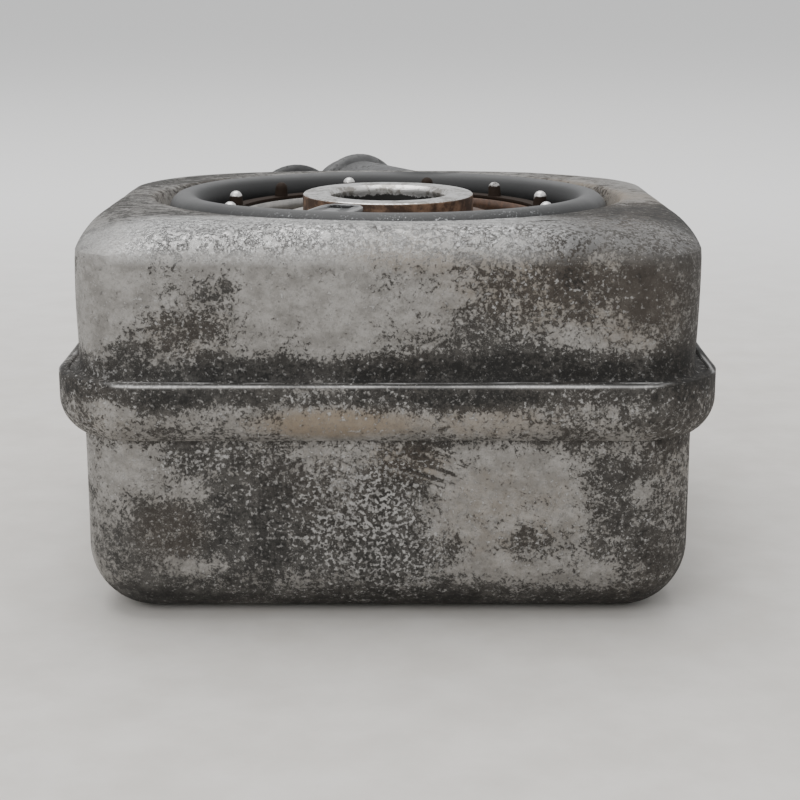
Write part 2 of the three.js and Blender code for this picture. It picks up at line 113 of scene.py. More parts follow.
class Wire:
    """A socket of a finish. Arithmetic on it adds the Math nodes that work it out."""

    def __init__(self, finish, socket):
        self.finish = finish
        self.socket = socket

    def maths(self, operation, *others, clamp=False):
        settings = {"operation": operation, "use_clamp": clamp}
        return self.finish.node("ShaderNodeMath", settings, dict(enumerate((self, *others))))

    def __add__(self, other):
        return self.maths("ADD", other)

    __radd__ = __add__

    def __mul__(self, other):
        return self.maths("MULTIPLY", other)

    def __sub__(self, other):
        return self.maths("SUBTRACT", other)

    def __rsub__(self, other):
        return self * -1 + other

    def __pow__(self, other):
        return self.maths("POWER", other)

    def clamp(self):
        return self.maths("ADD", 0, clamp=True)

    def step(self, start, end):
        """0 below start, 1 above end, and smooth between; start may be the higher one."""
        settings = {"interpolation_type": "SMOOTHSTEP"}
        if start < end:
            return self.finish.node("ShaderNodeMapRange", settings, {0: self, 1: start, 2: end})
        return 1 - self.finish.node("ShaderNodeMapRange", settings, {0: self, 1: end, 2: start})


class Finish:
    """A material that is built up from nodes over its piece's own coordinates."""

    def __init__(self, name):
        self.material = bpy.data.materials.new(name)
        self.material.use_nodes = True
        self.tree = self.material.node_tree
        self.tree.nodes.clear()
        self.place = self.node("ShaderNodeTexCoord", output="Object")

    def node(self, kind, settings=None, inputs=None, output=0):
        node = self.tree.nodes.new(kind)
        for name, value in (settings or {}).items():
            setattr(node, name, value)
        for name, value in (inputs or {}).items():
            if isinstance(value, Wire):
                self.tree.links.new(value.socket, node.inputs[name])
            else:
                node.inputs[name].default_value = value
        return Wire(self, node.outputs[output] if node.outputs else None)

    def axis(self, name):
        return self.node("ShaderNodeSeparateXYZ", inputs={"Vector": self.place}, output=name)

    def shifted(self, offset, along=(1, 1, 1)):
        """The piece's coordinates shifted, so that two patterns differ, and scaled along each axis."""
        shifted = self.node("ShaderNodeVectorMath", {"operation": "ADD"}, {0: self.place, 1: offset})
        return self.node("ShaderNodeVectorMath", {"operation": "MULTIPLY"}, {0: shifted, 1: along})

    def turned_about_y(self, degrees, along):
        """The piece's coordinates turned about the Y axis, and then drawn out along each axis."""
        inputs = {"Vector": self.place, "Rotation": (0, math.radians(degrees), 0), "Scale": along}
        return self.node("ShaderNodeMapping", {"vector_type": "TEXTURE"}, inputs)

    def grain(self, size, detail, rough, distortion=0.0, where=None):
        """Noise from 0 to 1, with lumps of that size."""
        inputs = {
            "Vector": where or self.place,
            "Scale": 1 / size,
            "Detail": detail,
            "Roughness": rough,
            "Distortion": distortion,
        }
        return self.node("ShaderNodeTexNoise", {"noise_dimensions": "3D"}, inputs)

    def painted(self, layer):
        """A value that was painted on the piece's points."""
        return self.node("ShaderNodeAttribute", {"attribute_name": layer}, output="Fac")

    def mix(self, amount, under, over):
        settings = {"data_type": "RGBA"}
        colours = {0: amount, 6: colour(under), 7: colour(over)}
        return self.node("ShaderNodeMix", settings, colours, output=2)

    def bump(self, height, depth, over=None):
        inputs = {"Strength": 1.0, "Distance": depth, "Height": height}
        if over is not None:
            inputs["Normal"] = over
        return self.node("ShaderNodeBump", inputs=inputs, output="Normal")

    def surface(self, **inputs):
        """Ends the finish with its one surface shader, whose sockets are given by name."""
        named = {}
        for name, value in inputs.items():
            named[name.replace("_", " ").title().replace("Ior", "IOR")] = value
        surface = self.node("ShaderNodeBsdfPrincipled", inputs=named)
        self.node("ShaderNodeOutputMaterial", inputs={"Surface": surface})
        return self.material


def colour(value):
    return value if isinstance(value, Wire) else (*value, 1.0)


def grey(level, warmth=0.0):
    """A grey of that brightness, warmed towards brown or cooled towards blue."""
    return (level * (1 + warmth), level, level * (1 - 1.4 * warmth))


# ---- Finishes ----


def weathered_aluminium():
    """Drawn aluminium under years of road dirt: grey oxide, dark crust in ragged patches, pale flecks,
    with painted shade in the dark crust and painted highlights on the rubbed edges.
    """
    finish = Finish("weathered_aluminium")
    layers = ("grime_and_shade", "brown", "wear_and_highlight", "edge", "flecked", "scored", "calm")
    grime_and_shade, brown, wear_and_highlight, edge, flecked, scored, calm = (finish.painted(layer) for layer in layers)

    coarse = finish.grain(6 * MM, 5, 0.6)
    mottle = finish.grain(1.35 * MM, 8, 0.8, 0.4)
    crumbs = finish.grain(0.5 * MM, 4, 0.7)
    scatter = finish.grain(0.62 * MM, 3, 0.6, where=finish.shifted((0.3, 0.1, 0.7)))
    haze = finish.grain(2.4 * MM, 6, 0.75, where=finish.shifted((0.8, 0.2, 0.4)))
    smears = finish.grain(3 * MM, 6, 0.7, where=finish.shifted((0.1, 0.6, 0.2), (0.9, 0.9, 1.2)))

    scores = finish.grain(1.2 * MM, 3, 0.5, where=finish.turned_about_y(20, (7, 0.7, 0.6)))
    ragged = (coarse - 0.5) * 0.7 + (mottle - 0.5) * 2.1 + (crumbs - 0.5) * 1.5
    # The painted grime layer carries painted shade as well as dirt, so the dark film, crust and soot
    # below are partly painted shade.
    dirt_and_shade = grime_and_shade + ragged * (1 - calm * 0.7) + scored * (scores - 0.47) * 2.6
    film_and_shade = dirt_and_shade.step(-0.05, 0.75)
    crust_and_shade = dirt_and_shade.step(0.42, 0.64)
    soot_and_shade = dirt_and_shade.step(0.7, 1.1)
    fleck = (scatter + flecked * 0.17 + (crumbs - 0.5) * 0.4).step(0.63, 0.72)
    fleck = fleck * (1 - soot_and_shade * (1 - flecked) * 0.8) * (1 - calm * 0.6)
    sparkle = mottle * 0.6 + crumbs * 0.7
    rubbed_highlight = wear_and_highlight * sparkle.step(0.6, 0.68)
    rubbed_highlight = (rubbed_highlight + edge * (0.75 + (crumbs - 0.5) * 1.5)).clamp()
    pits = wear_and_highlight * ((mottle - 0.53) ** 2).step(0.0022, 0.0004)

    metal = finish.mix(smears.step(0.35, 0.65), grey(0.205, 0.05), grey(0.33, 0.04))
    tan = (brown + (haze - 0.5) * 0.9 + (mottle - 0.5) * 0.5).step(0.1, 1)
    metal = finish.mix(tan * 0.85, metal, (0.24, 0.19, 0.135))
    metal = finish.mix(film_and_shade * 0.6, metal, grey(0.105, 0.07))
    # Painted highlight: the worn front of the top edge is lightened.
    metal = finish.mix(wear_and_highlight * 0.9, metal, grey(0.6, 0.02))
    crust_and_shade_tone = finish.mix(haze.step(0.42, 0.66), grey(0.02, 0.07), grey(0.07, 0.06))
    crust_and_shade_tone = finish.mix(brown * 0.8, crust_and_shade_tone, (0.05, 0.033, 0.021))
    metal = finish.mix(crust_and_shade * 0.9, metal, crust_and_shade_tone)
    metal = finish.mix(soot_and_shade * 0.8, metal, grey(0.009, 0.05))
    chalk = finish.mix(haze.step(0.35, 0.6), grey(0.2, 0.04), grey(0.42, 0.025))
    metal = finish.mix(fleck * 0.85, metal, chalk)
    # Painted highlight: near white where rubbed bare and on the edge lines.
    metal = finish.mix(rubbed_highlight, metal, grey(0.95, 0.01))
    metal = finish.mix(pits * 0.9, metal, grey(0.03, 0.08))

    dull = (0.5 + crust_and_shade * 0.25 - rubbed_highlight * 0.2 - wear_and_highlight * 0.12 + (smears - 0.5) * 0.2).clamp()
    shine = (0.5 - crust_and_shade * 0.45 + rubbed_highlight * 0.2 + wear_and_highlight * 0.25 - pits * 0.5).clamp()
    relief = finish.bump(crust_and_shade * 0.5 + mottle * 0.6 + fleck * 0.4 + rubbed_highlight * 0.3, 0.13 * MM)
    relief = finish.bump(crumbs, 0.05 * MM, relief)
    return finish.surface(
        base_color=metal, roughness=dull, metallic=shine, specular_ior_level=0.3, normal=relief
    )


def seal_rubber():
    """Rubber gone grey: dusty, lighter where it faces up as painted light, darkened as painted shade on
    its flanks, and speckled where it is worn.
    """
    finish = Finish("greyed_rubber")
    dust = finish.grain(3 * MM, 7, 0.7)
    specks = finish.grain(0.4 * MM, 4, 0.7)
    wear_and_highlight = finish.painted("wear_and_highlight")
    oil_and_shade = finish.painted("grime_and_shade")
    skin = finish.mix(dust.step(0.35, 0.7), grey(0.042, -0.005), grey(0.075))
    skin = finish.mix(wear_and_highlight * 0.6, skin, grey(0.07, -0.02))
    skin = finish.mix(specks.step(0.44, 0.38) * wear_and_highlight, skin, grey(0.015))
    # Painted light on the up-facing rubber and on the tab's rim, then painted shade on the flanks and in
    # the tab's slot.
    skin = finish.mix(finish.painted("painted_light"), skin, grey(0.3))
    skin = finish.mix(oil_and_shade, skin, grey(0.012))
    skin = finish.mix(specks.step(0.58, 0.64) * wear_and_highlight, skin, grey(0.5, -0.01))
    relief = finish.bump(dust + specks * 0.5, 0.05 * MM)
    return finish.surface(base_color=skin, roughness=0.5 + dust * 0.2, normal=relief)


def turned_steel():
    """The tube: its turned end faces stay bright, its side is brown with baked oil, and its bore goes
    black with painted shade below the top.
    """
    finish = Finish("turned_steel")
    side = finish.painted("brown")
    soot_and_shade = finish.painted("grime_and_shade")
    patches = finish.grain(3.5 * MM, 7, 0.7)
    fine = finish.grain(0.8 * MM, 4, 0.6)
    tarnish = (patches + (fine - 0.5) * 0.5).step(0.47, 0.6)
    bright = finish.mix(tarnish * 0.8, grey(0.7, 0.02), grey(0.22, 0.1))
    rust = finish.mix(patches.step(0.45, 0.66), (0.05, 0.026, 0.014), (0.22, 0.13, 0.08))
    rust = finish.mix(fine.step(0.62, 0.7) * patches, rust, grey(0.02, 0.1))
    stained = (side * 1.5 + patches * 0.5 - 0.45).step(0.2, 0.5)
    metal = finish.mix(stained, bright, rust)
    black = (soot_and_shade + (patches - 0.5) * 1.6 + (fine - 0.5) * 0.8).step(0.4, 0.6)
    metal = finish.mix(black, metal, grey(0.012, 0.1))
    relief = finish.bump(patches * stained + fine * 0.3, 0.05 * MM)
    return finish.surface(
        base_color=metal,
        roughness=0.26 + stained * 0.3 + patches * 0.1 + black * 0.3,
        metallic=(0.95 - stained * 0.75 - black * 0.9).clamp(),
        normal=relief,
    )


def oiled_plate():
    """Pressed end plates: pale where wiped, red-brown and black where oil has baked on, and black as
    painted shade next to the seal.
    """
    finish = Finish("oiled_plate")
    grime_and_shade = finish.painted("grime_and_shade")
    brown = finish.painted("brown")
    patches = finish.grain(4 * MM, 7, 0.7)
    fine = finish.grain(0.9 * MM, 5, 0.65)
    metal = finish.mix(patches.step(0.4, 0.65), grey(0.30, 0.03), grey(0.45, 0.04))
    baked = (brown + (patches - 0.5) * 2 + (fine - 0.5) * 0.6).step(0.25, 0.75)
    baked_oil = finish.mix(fine.step(0.4, 0.6), (0.10, 0.055, 0.035), (0.16, 0.08, 0.045))
    metal = finish.mix(baked, metal, baked_oil)
    metal = finish.mix((grime_and_shade * 1.2 + patches * 0.5 - 0.4).clamp(), metal, grey(0.012, 0.08))
    relief = finish.bump(patches + fine * 0.4, 0.06 * MM)
    return finish.surface(
        base_color=metal,
        roughness=0.32 + patches * 0.3,
        metallic=(0.75 - grime_and_shade * 0.6 - brown * 0.4).clamp(),
        normal=relief,
    )


def bright_stub():
    """Stubs: tips rubbed bright and painted with a highlight, sides dark with oil."""
    finish = Finish("rubbed_stub")
    wear_and_highlight = finish.painted("wear_and_highlight")
    fine = finish.grain(0.7 * MM, 5, 0.65)
    edge = (wear_and_highlight + (fine - 0.5) * 0.9).step(0.35, 0.7)
    # Painted highlight: the tips are mixed to a light grey.
    metal = finish.mix(edge, (0.028, 0.019, 0.014), grey(0.75, 0.02))
    return finish.surface(
        base_color=metal,
        roughness=0.6 - edge * 0.25,
        metallic=edge * 0.8,
        specular_ior_level=0.1 + edge * 0.4,
        normal=finish.bump(fine, 0.08 * MM),
    )


def drawn_pipe(name, level):
    """A pipe's drawn metal, of that brightness, streaked and spotted with dirt."""
    finish = Finish(name)
    streaks = finish.grain(5 * MM, 6, 0.65)
    fine = finish.grain(0.9 * MM, 6, 0.7)
    spots = (streaks * 0.6 + fine * 0.5).step(0.58, 0.68)
    metal = finish.mix(streaks.step(0.35, 0.65), grey(level), grey(1.7 * level))
    metal = finish.mix(spots * 0.8, metal, grey(0.03, 0.05))
    relief = finish.bump(fine * 0.5 + spots, 0.06 * MM)
    return finish.surface(
        base_color=metal, roughness=0.5 + spots * 0.3, metallic=0.3 - spots * 0.25, normal=relief
    )


def brazed_core():
    finish = Finish("brazed_core")
    patches = finish.grain(3 * MM, 6, 0.65)
    metal = finish.mix(patches.step(0.4, 0.65), grey(0.16, 0.12), grey(0.45, 0.05))
    return finish.surface(
        base_color=metal,
        roughness=0.35 + patches * 0.2,
        metallic=0.8,
        normal=finish.bump(patches, 0.05 * MM),
    )


def pale_floor():
    finish = Finish("pale_floor")
    clouds = finish.grain(12 * MM, 5, 0.6)
    away = (finish.axis("X") ** 2 + finish.axis("Y") ** 2) ** 0.5
    # Painted shade: the floor is darker near the cooler, and evenly bright far off.
    near = finish.mix(clouds.step(0.25, 0.75), grey(0.62, 0.05), grey(0.71, 0.04))
    tone = finish.mix(away.step(0.07, 0.5), near, grey(0.97, 0.009))
    return finish.surface(base_color=tone, roughness=0.65)


# ---- Mesh tools ----

# One point of a pressing's profile: how round its ring is, and what its plan corner has over the usual.
Spot = namedtuple("Spot", "r z circle rounder", defaults=(0.0, 0.0))


def arc(r, z, radius, start, end, steps, circle=0.0):
    """Profile points round an arc; angles in degrees from outwards, up being 90."""
    turns = [math.radians(start + (end - start) * i / steps) for i in range(steps + 1)]
    return [Spot(r + radius * math.cos(t), z + radius * math.sin(t), circle) for t in turns]


def straight(start, end, steps):
    """Profile points between two, without them."""
    return [
        Spot(*(a + (b - a) * i / steps for a, b in zip(start, end))) for i in range(1, steps)
    ]


CORNER_STEPS = 14
SIDE_STEPS = 44


def square_outline(half, corner):
    """A rounded square, anticlockwise, starting at the right-hand end of its first corner."""
    centre = half - corner
    quarter = []
    for i in range(CORNER_STEPS + 1):
        turn = math.pi / 2 * i / CORNER_STEPS
        quarter.append(Vector((centre + corner * math.cos(turn), centre + corner * math.sin(turn))))
    quarter += [Vector((centre * (1 - 2 * i / SIDE_STEPS), half)) for i in range(1, SIDE_STEPS)]
    turns = [Matrix.Rotation(math.pi / 2 * side, 2) for side in range(4)]
    return [turn @ spot for turn in turns for spot in quarter]


def circle_outline(radius):
    """A circle with as many points as that square, each facing its own point of it."""
    count = 4 * (CORNER_STEPS + SIDE_STEPS)
    turns = [math.pi / 4 + (i - CORNER_STEPS / 2) / count * math.tau for i in range(count)]
    return [Vector((radius * math.cos(t), radius * math.sin(t))) for t in turns]


def pressed_ring(spot):
    """The outline of a pressing at one point of its profile, between a square and a circle."""
    corner = max(CORNER + spot.r - UPPER_HALF + spot.rounder, SHEET / 2)
    square = square_outline(spot.r, corner)
    circle = circle_outline(spot.r)
    return [(*a.lerp(b, spot.circle), spot.z) for a, b in zip(square, circle)]


def turned_ring(spot, count):
    turns = [math.tau * i / count for i in range(count)]
    return [(spot[0] * math.cos(t), spot[0] * math.sin(t), spot[1]) for t in turns]


def piece(name, bm, finish, smooth_angle=40):
    """An object from a mesh in the making, set on the tube's axis."""
    bmesh.ops.recalc_face_normals(bm, faces=bm.faces)
    mesh = bpy.data.meshes.new(name)
    bm.to_mesh(mesh)
    bm.free()
    mesh.materials.append(finish)
    mesh.shade_smooth()
    mesh.set_sharp_from_angle(angle=math.radians(smooth_angle))
    made = bpy.data.objects.new(name, mesh)
    made.location = AXIS
    bpy.context.scene.collection.objects.link(made)
    return made


def loft(rings, capped=False):
    """A body whose skin runs through rings of points, the last joined to the first or both capped."""
    bm = bmesh.new()
    rows = [[bm.verts.new(point) for point in ring] for ring in rings]
    following_rows = rows[1:] if capped else rows[1:] + rows[:1]
    for row, following in zip(rows, following_rows):
        for i, corner in enumerate(row):
            j = (i + 1) % len(row)
            bm.faces.new((corner, row[j], following[j], following[i]))
    if capped:
        bm.faces.new(rows[0][::-1])
        bm.faces.new(rows[-1])
    return bm


def turned(profile, count):
    """A turned body about the tube's axis from a closed profile of (radius, height)."""
    return loft([turned_ring(spot, count) for spot in profile])


def rounded_profile(corners, radius, steps=4):
    """A closed profile with its corners rounded off."""
    profile = []
    for i, corner in enumerate(corners):
        corner = Vector(corner)
        before = Vector(corners[i - 1]) - corner
        after = Vector(corners[(i + 1) % len(corners)]) - corner
        reach = min(radius, before.length * 0.45, after.length * 0.45)
        start = corner + before.normalized() * reach
        end = corner + after.normalized() * reach
        for step in range(steps + 1):
            t = step / steps
            profile.append(start.lerp(corner, t).lerp(corner.lerp(end, t), t))
    return profile


def join(*parts):
    """One mesh in the making out of several."""
    whole = bmesh.new()
    for part in parts:
        spare = bpy.data.meshes.new("spare")
        part.to_mesh(spare)
        part.free()
        whole.from_mesh(spare)
        bpy.data.meshes.remove(spare)
    return whole


def cut_away(made, plugs):
    """Takes the plugs out of a piece."""
    for plug in plugs:
        cut = made.modifiers.new("cut", "BOOLEAN")
        cut.object = plug
        cut.solver = "EXACT"
        bpy.context.view_layer.objects.active = made
        bpy.ops.object.modifier_apply(modifier=cut.name)
    for plug in plugs:
        bpy.data.objects.remove(plug)


def paint(made, layer, rule):
    """Stores a value from 0 to 1 on each point of a piece; rule is given its place and its normal."""
    values = made.data.attributes.new(layer, "FLOAT", "POINT")
    for point in made.data.vertices:
        values.data[point.index].value = min(max(rule(point.co, point.normal), 0.0), 1.0)


def batter(made, rule):
    """Moves each point of a piece along its normal by what the rule says."""
    moves = [point.normal * rule(point.co) for point in made.data.vertices]
    for point, move in zip(made.data.vertices, moves):
        point.co += move


def lumps(place, size, seed):
    """Smooth noise from -1 to 1, with lumps of that size."""
    return noise.noise(place / size + Vector((seed, seed * 1.7, -seed)))


def ease(value, start, end):
    """0 before start, 1 past end, and smooth between."""
    t = min(max((value - start) / (end - start), 0.0), 1.0)
    return t * t * (3 - 2 * t)


def finish_piece(made, slot, *nodes):
    """Puts a piece on the cooler's one body in place of its CAD nodes."""
    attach(made, "root")
    if nodes:
        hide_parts(*nodes)


# ---- Stains, painted shade and painted highlights on the shells ----

# The fold's two edges, which catch the light: how high the outer one lies, and how far out the inner.
LIP_EDGE = LEDGE - 0.4 * MM
LIP_CREST = SEAM_HALF - 1.0 * MM

# Stains on the front wall. Each has its middle, in millimetres across from the tube's axis and up from
# the filter's seat, its half width and half height in millimetres, and the level it gives a layer.

# Dark crust at a high level, and places wiped paler at a low one.
DIRT = [
    (-40, 49, 9, 10, 0.1),
    (-12, 49, 15, 7, 0.13),
    (6, 50, 9, 6, 0.3),
    (-31.5, 52.5, 2.5, 4, 0.42),
    (-25, 49, 4, 2.5, 0.52),
    (-29, 44.5, 7, 2.6, 0.6),
    (-36, 41.8, 5, 1.3, 0.62),
    (12, 45, 6, 2.6, 0.52),
    (20, 52, 6, 4, 0.5),
    (26.5, 52, 3, 4, 0.82),
    (31, 54, 4, 2, 0.4),
    (36, 49, 6, 4.5, 0.8),
    (26, 45, 10, 2.5, 0.5),
    (26, 43.6, 4, 1.3, 0.25),
    (44, 46, 5, 10, 0.62),
    (-40, 33.2, 3.5, 2.6, 0.2),
    (-32, 34.6, 5.5, 1.5, 0.75),
    (-26, 31.8, 8, 1.4, 0.33),
    (-20, 35, 5, 1.8, 0.56),
    (-7, 34.6, 9, 1.4, 0.55),
    (-7, 31, 11, 2, 0.12),
    (12, 34.8, 10, 1.5, 0.78),
    (14, 31.3, 11, 1.9, 0.3),
    (30, 33, 9, 3.5, 0.52),
    (43, 33, 6, 5, 0.66),
    (-43, 15, 5, 9, 0.4),
    (-30, 13, 12, 11, 0.58),
    (-16, 15, 13, 10, 0.78),
    (0, 14, 8, 11, 0.78),
    (-27, 25.2, 9, 2.2, 0.7),
    (-37.5, 24, 5, 3, 0.13),
    (-31, 19.8, 4, 1.8, 0.2),
    (-32, 15, 6, 4, 0.62),
    (-29, 8.8, 5, 1.6, 0.28),
    (18, 20, 13, 8.5, 0.12),
    (16, 14.5, 9, 5, 0.2),
    (8, 9.5, 4, 4, 0.55),
    (18, 8.8, 8, 2.4, 0.14),
    (21, 12.5, 4, 2.6, 0.5),
    (35.5, 17.5, 6.5, 9, 0.68),
    (37, 20, 1.6, 1.8, 0.2),
    (30, 8, 5, 1.8, 0.36),
    (43, 15, 4, 9, 0.62),
]

# Brown film.
TAN = [
    (-7, 31.5, 12, 2.4, 0.9),
    (14, 31.5, 10, 2.6, 0.5),
    (-29, 44, 8, 4, 0.35),
    (4, 55, 12, 2.5, 0.7),
    (24, 50, 14, 6, 0.55),
    (36, 47, 8, 6, 0.5),
    (-32, 14, 6, 6, 0.4),
    (3, 25, 6, 3, 0.6),
    (18, 17, 14, 9, 0.35),
]

# Crowds of pale flecks.
FLECKS = [
    (-27, 25.2, 10, 2.6, 0.75),
    (-18, 14, 10, 9, 0.4),
    (-4, 17, 9, 11, 0.9),
    (4, 10, 5, 6, 0.8),
    (21, 12, 4, 3, 0.55),
    (35, 17, 7, 8, 0.35),
    (-8, 35, 12, 2, 0.5),
    (28, 34, 8, 3, 0.5),
    (24, 47, 14, 7, 0.4),
]

# Scratches.
SCORES = [
    (7, 23.5, 6, 3, 0.8),
    (20, 18, 9, 5, 0.25),
]


def stained(place, stains, bare):
    """The level that stains on the front wall, dabbed on one after another, leave at a place."""
    front = ease(-place.y, UPPER_HALF - 12 * MM, UPPER_HALF - 4 * MM)
    level = bare
    for x, z, half_width, half_height, stain in stains:
        away = math.hypot((place.x / MM - x) / half_width, (place.z / MM - z) / half_height)
        level += (stain - level) * (1 - ease(away, 0.45, 1.5)) * front
    return level


def line(distance, half_width):
    """1 on a line, falling away on both sides of it."""
    return math.exp(-((distance / half_width) ** 2))


def on_flat(place):
    """The flat of the top."""
    return ease(place.z, TOP - 1.5 * MM, TOP - 0.3 * MM)


def beside_seal(place):
    """The front of the rim, next to the seal."""
    near = ease(RIM_RADIUS + 2.2 * MM - place.xy.length, 0, 1.2 * MM) * (place.z > TOP - 3 * MM)
    return near * ease(-place.y, 26 * MM, 34 * MM)


def front_right(place):
    """The right half of the top's front, where the dirt is thicker."""
    top = ease(place.z, TOP - 4.5 * MM, TOP - 3 * MM)
    return top * ease(place.x, 12 * MM, 27 * MM) * ease(-place.y, 8 * MM, 26 * MM)


def shell_grime_and_shade(place, normal):
    """Dirt on a shell, darker above the seam, just under the lip and towards the right, with painted
    shade under the skirt's edge, round the bottom edge and on the rim beside the seal.
    """
    over_lip = ease(place.z, LEDGE - 1 * MM, LEDGE)
    above_seam = over_lip * (1 - ease(place.z, LEDGE + 1.5 * MM, LEDGE + 4.5 * MM))
    under_lip = (1 - over_lip) * ease(place.z, LEDGE - 3.5 * MM, LEDGE - 2 * MM)
    # Painted shade round the bottom edge, and in the gap just under the skirt's edge.
    bottom = ease(-place.z, -6.5 * MM, -3 * MM)
    under_skirt = ease(place.z, SKIRT_BOTTOM - 2 * MM, SKIRT_BOTTOM) * (place.z < SKIRT_BOTTOM)
    drift = 0.3 * lumps(place, 14 * MM, 3) + 0.15 * lumps(place, 6 * MM, 8)
    right = ease(place.x, -25 * MM, 30 * MM)
    left = ease(-place.x, 24 * MM, 34 * MM)
    gathered = (0.55 + 0.2 * right - 0.3 * left) * above_seam
    gathered += 0.3 * under_lip + 0.4 * bottom + 0.2 * under_skirt
    on_top = ease(place.z, TOP - 4 * MM, TOP - 2 * MM)
    bare = 0.36 + 0.2 * right + drift * (1 - 0.5 * on_top)
    back_right = ease(place.x, 18 * MM, 34 * MM) * ease(place.y, -18 * MM, 0)
    gathered += on_flat(place) * (0.2 * ease(-place.x, 0, 20 * MM) - 0.3 * back_right)
    # Thicker dirt on the front right of the top, and painted shade on the rim beside the seal.
    gathered += 0.3 * front_right(place) + 0.3 * beside_seal(place)
    return stained(place, DIRT, bare) + gathered + 0.25 * drift


def shell_brown(place, normal):
    """Brown film on a shell, thicker on the rim and on the right of the top."""
    rim = ease(RIM_RADIUS + 1.6 * MM - place.xy.length, 0, 1.5 * MM) * (place.z > TOP - 5 * MM)
    drift = 0.35 * lumps(place, 18 * MM, 21) + 0.1
    flat = on_flat(place) * ease(place.x, 18 * MM, 34 * MM)
    return stained(place, TAN, drift) + 0.3 * rim + 0.25 * flat


def shell_edge_highlight(place, normal):
    """Painted highlight lines on the fold's two edges and on the front of the rim, where they are rubbed
    bright.
    """
    out = max(abs(place.x), abs(place.y))
    broken = ease(lumps(place, 7 * MM, 5), -0.35, 0.15)
    ragged = ease(lumps(place, 5 * MM, 9), -0.2, 0.35)
    edge = line(place.z - LIP_EDGE, 0.15 * MM) * ease(out, SEAM_HALF - 0.6 * MM, SEAM_HALF - 0.2 * MM)
    crest = line(out - LIP_CREST, 0.2 * MM) * ease(place.z, LEDGE - 0.5 * MM, LEDGE - 0.2 * MM)
    crest *= place.z < LEDGE + 0.3 * MM
    rim = line(place.xy.length - RIM_RADIUS - 0.7 * MM, 0.45 * MM) * (place.z > TOP - 2 * MM)
    rim *= ease(-place.y, 30 * MM, 36 * MM) * ease(lumps(place, 3 * MM, 12), -0.3, 0.3)
    return edge * (0.45 + 0.55 * broken) + 0.55 * crest * ragged + 0.6 * rim


def shell_wear_and_highlight(place, normal):
    """The front of the top edge, rubbed bare and lightened as a painted highlight."""
    shoulder = ease(place.z, TOP - 5.5 * MM, TOP - 2.5 * MM) * ease(-place.y, 30 * MM, 38 * MM)
    shoulder *= 1 - 0.4 * ease(place.z, TOP - 0.4 * MM, TOP + 0.6 * MM)
    across = 0.95 - 0.45 * ease(place.x, -14 * MM, -2 * MM) + 0.2 * ease(place.x, 4 * MM, 10 * MM)
    across *= 1 - 0.8 * ease(place.x, 14 * MM, 30 * MM)
    across *= 1 - 0.7 * ease(-place.x, 33 * MM, 41 * MM)
    return shoulder * across


def shell_scored(place, normal):
    """Scratches: on the top's flat and on two places of the front wall."""
    return stained(place, SCORES, 0) + 0.4 * on_flat(place)


def shell_flecked(place, normal):
    return stained(place, FLECKS, 0.25 + 0.3 * lumps(place, 12 * MM, 31))


def shell_calm(place, normal):
    """Where the dirt lies in soft smears instead of ragged patches."""
    flat = ease(place.z, TOP - 2.5 * MM, TOP - 0.6 * MM)
    corner = ease(place.x, 26 * MM, 36 * MM) * ease(place.z, LEDGE + 2 * MM, LEDGE + 8 * MM)
    foot = ease(-place.x, 24 * MM, 34 * MM) * ease(-place.z, -22 * MM, -15 * MM)
    flat *= (1 - 0.7 * front_right(place)) * (1 - beside_seal(place))
    return max(0.75 * flat, 0.7 * corner, 0.6 * foot)


def paint_shell(made):
    paint(made, "grime_and_shade", shell_grime_and_shade)
    paint(made, "brown", shell_brown)
    paint(made, "wear_and_highlight", shell_wear_and_highlight)
    paint(made, "edge", shell_edge_highlight)
    paint(made, "flecked", shell_flecked)
    paint(made, "scored", shell_scored)
    paint(made, "calm", shell_calm)


SEAT_TILT = 1.04 / 38  # slope of the top, which lies lower at the back


def askew(place):
    """How far the seal's seat has been pushed down at the back, and up at the front."""
    return -place.y * SEAT_TILT * ease(place.z, LEDGE, TOP)


def shell_dents(place):
    """Broad and small dents in a shell."""
    return 0.16 * MM * lumps(place, 24 * MM, 2) + 0.05 * MM * lumps(place, 7 * MM, 6)


# ---- Shells ----


def domed(edge):
    """A top edge whose plan corner grows rounder on its way up to the top."""
    last = len(edge) - 1
    return [
        spot._replace(rounder=(TOP_CORNER - CORNER) * i / last + edge[0].r - spot.r)
        for i, spot in enumerate(edge)
    ]


